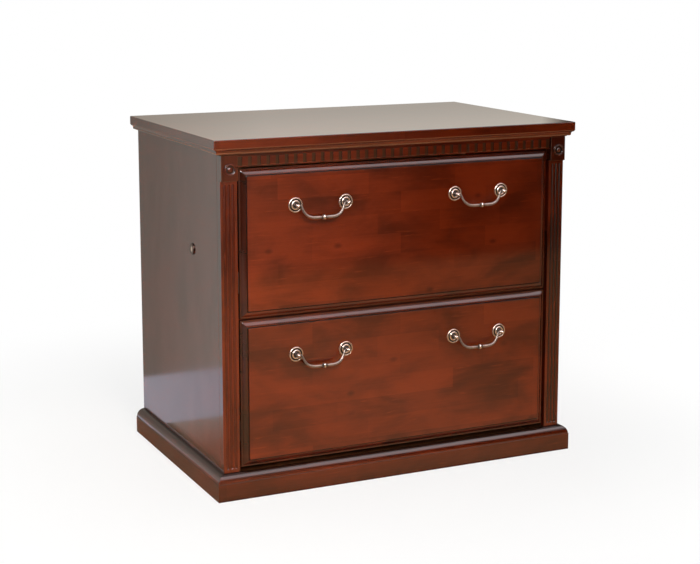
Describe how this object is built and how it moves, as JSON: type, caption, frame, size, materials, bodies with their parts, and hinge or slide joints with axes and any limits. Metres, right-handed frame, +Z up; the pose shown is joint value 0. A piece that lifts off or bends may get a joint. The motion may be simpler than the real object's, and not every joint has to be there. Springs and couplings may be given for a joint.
{
  "type": "lateral filing cabinet",
  "caption": "Free-standing wooden lateral filing cabinet with fluted corner pilasters, a dentil rail, stacked file drawers on telescopic slides, bail pulls and a lock in the side.",
  "frame": {"origin": "on the floor, at the middle of the outline with the pulls included", "axes": "+X to the right as seen from the front, +Y to the back, +Z up"},
  "size_m": [0.864, 0.5677, 0.762],
  "materials": {
    "stained_wood": "gloss lacquer over dark cherry stain",
    "drawer_wood": "gloss lacquer over cherry stain, horizontal grain",
    "box_wood": "clear satin lacquer on pale wood",
    "back_board": "matt stained hardboard",
    "slide_steel": "zinc plated, rolled",
    "pull_metal": "antique pewter plating, dark in the hollows",
    "lock_metal": "polished nickel plating",
    "rail_metal": "satin anodised"
  },
  "bodies": {
    "case": {"top_panel": "stained_wood", "cornice_front": "stained_wood", "cornice_left": "stained_wood", "cornice_right": "stained_wood", "plinth_front": "stained_wood", "plinth_left": "stained_wood", "plinth_right": "stained_wood", "side_panel_left": "stained_wood", "side_panel_right": "stained_wood", "back_panel": "back_board", "bottom_panel": "stained_wood", "pilaster_left": "stained_wood", "pilaster_right": "stained_wood", "corner_block_left": "stained_wood", "corner_block_right": "stained_wood", "dentil_rail": "stained_wood", "divider_rail": "stained_wood", "slide_post_left": "box_wood", "slide_post_right": "box_wood", "lock_barrel": "lock_metal", "upper_slide_outer_left": "slide_steel", "upper_slide_outer_right": "slide_steel", "lower_slide_outer_left": "slide_steel", "lower_slide_outer_right": "slide_steel"},
    "upper_drawer": {"upper_drawer_front": "drawer_wood", "upper_drawer_side_left": "box_wood", "upper_drawer_side_right": "box_wood", "upper_drawer_back": "box_wood", "upper_drawer_bottom": "box_wood", "upper_file_rail_front": "rail_metal", "upper_file_rail_rear": "rail_metal", "upper_slide_inner_left": "slide_steel", "upper_slide_inner_right": "slide_steel", "upper_left_pull_rose_left": "pull_metal", "upper_left_pull_rose_right": "pull_metal", "upper_right_pull_rose_left": "pull_metal", "upper_right_pull_rose_right": "pull_metal"},
    "lower_drawer": {"lower_drawer_front": "drawer_wood", "lower_drawer_side_left": "box_wood", "lower_drawer_side_right": "box_wood", "lower_drawer_back": "box_wood", "lower_drawer_bottom": "box_wood", "lower_file_rail_front": "rail_metal", "lower_file_rail_rear": "rail_metal", "lower_slide_inner_left": "slide_steel", "lower_slide_inner_right": "slide_steel", "lower_left_pull_rose_left": "pull_metal", "lower_left_pull_rose_right": "pull_metal", "lower_right_pull_rose_left": "pull_metal", "lower_right_pull_rose_right": "pull_metal"},
    "upper_runners": {"upper_slide_middle_left": "slide_steel", "upper_slide_middle_right": "slide_steel"},
    "lower_runners": {"lower_slide_middle_left": "slide_steel", "lower_slide_middle_right": "slide_steel"},
    "upper_left_bail": {"upper_left_pull_bail": "pull_metal"},
    "upper_right_bail": {"upper_right_pull_bail": "pull_metal"},
    "lower_left_bail": {"lower_left_pull_bail": "pull_metal"},
    "lower_right_bail": {"lower_right_pull_bail": "pull_metal"},
    "lock_plug": {"lock_plug": "lock_metal"},
    "lock_bar": {"lock_bar": "slide_steel"}
  },
  "joints": [
    {"name": "upper_drawer_slide", "type": "slide", "parent": "case", "child": "upper_drawer", "axis": [0, -1, 0], "range_m": [0, 0.43]},
    {"name": "lower_drawer_slide", "type": "slide", "parent": "case", "child": "lower_drawer", "axis": [0, -1, 0], "range_m": [0, 0.43]},
    {"name": "upper_runner_slide", "type": "slide", "parent": "case", "child": "upper_runners", "axis": [0, -1, 0], "range_m": [0, 0.215]},
    {"name": "lower_runner_slide", "type": "slide", "parent": "case", "child": "lower_runners", "axis": [0, -1, 0], "range_m": [0, 0.215]},
    {"name": "upper_left_bail_swing", "type": "hinge", "parent": "upper_drawer", "child": "upper_left_bail", "pos_m": [-0.19, -0.27214, 0.61675], "axis": [-1, 0, 0], "range_deg": [0, 80]},
    {"name": "upper_right_bail_swing", "type": "hinge", "parent": "upper_drawer", "child": "upper_right_bail", "pos_m": [0.19, -0.27214, 0.61675], "axis": [-1, 0, 0], "range_deg": [0, 80]},
    {"name": "lower_left_bail_swing", "type": "hinge", "parent": "lower_drawer", "child": "lower_left_bail", "pos_m": [-0.19, -0.27214, 0.297], "axis": [-1, 0, 0], "range_deg": [0, 80]},
    {"name": "lower_right_bail_swing", "type": "hinge", "parent": "lower_drawer", "child": "lower_right_bail", "pos_m": [0.19, -0.27214, 0.297], "axis": [-1, 0, 0], "range_deg": [0, 80]},
    {"name": "lock_turn", "type": "hinge", "parent": "case", "child": "lock_plug", "pos_m": [-0.413, -0.08314, 0.507], "axis": [1, 0, 0], "range_deg": [0, 90]},
    {"name": "lock_bar_lift", "type": "slide", "parent": "case", "child": "lock_bar", "axis": [0, 0, 1], "range_m": [0, 0.01202]}
  ],
  "couplings": [
    {"joint": "upper_runner_slide", "follows": "upper_drawer_slide", "ratio": 0.5},
    {"joint": "lower_runner_slide", "follows": "lower_drawer_slide", "ratio": 0.5},
    {"joint": "lock_turn", "follows": "lock_bar_lift", "rad_per_m": 130.67}
  ]
}
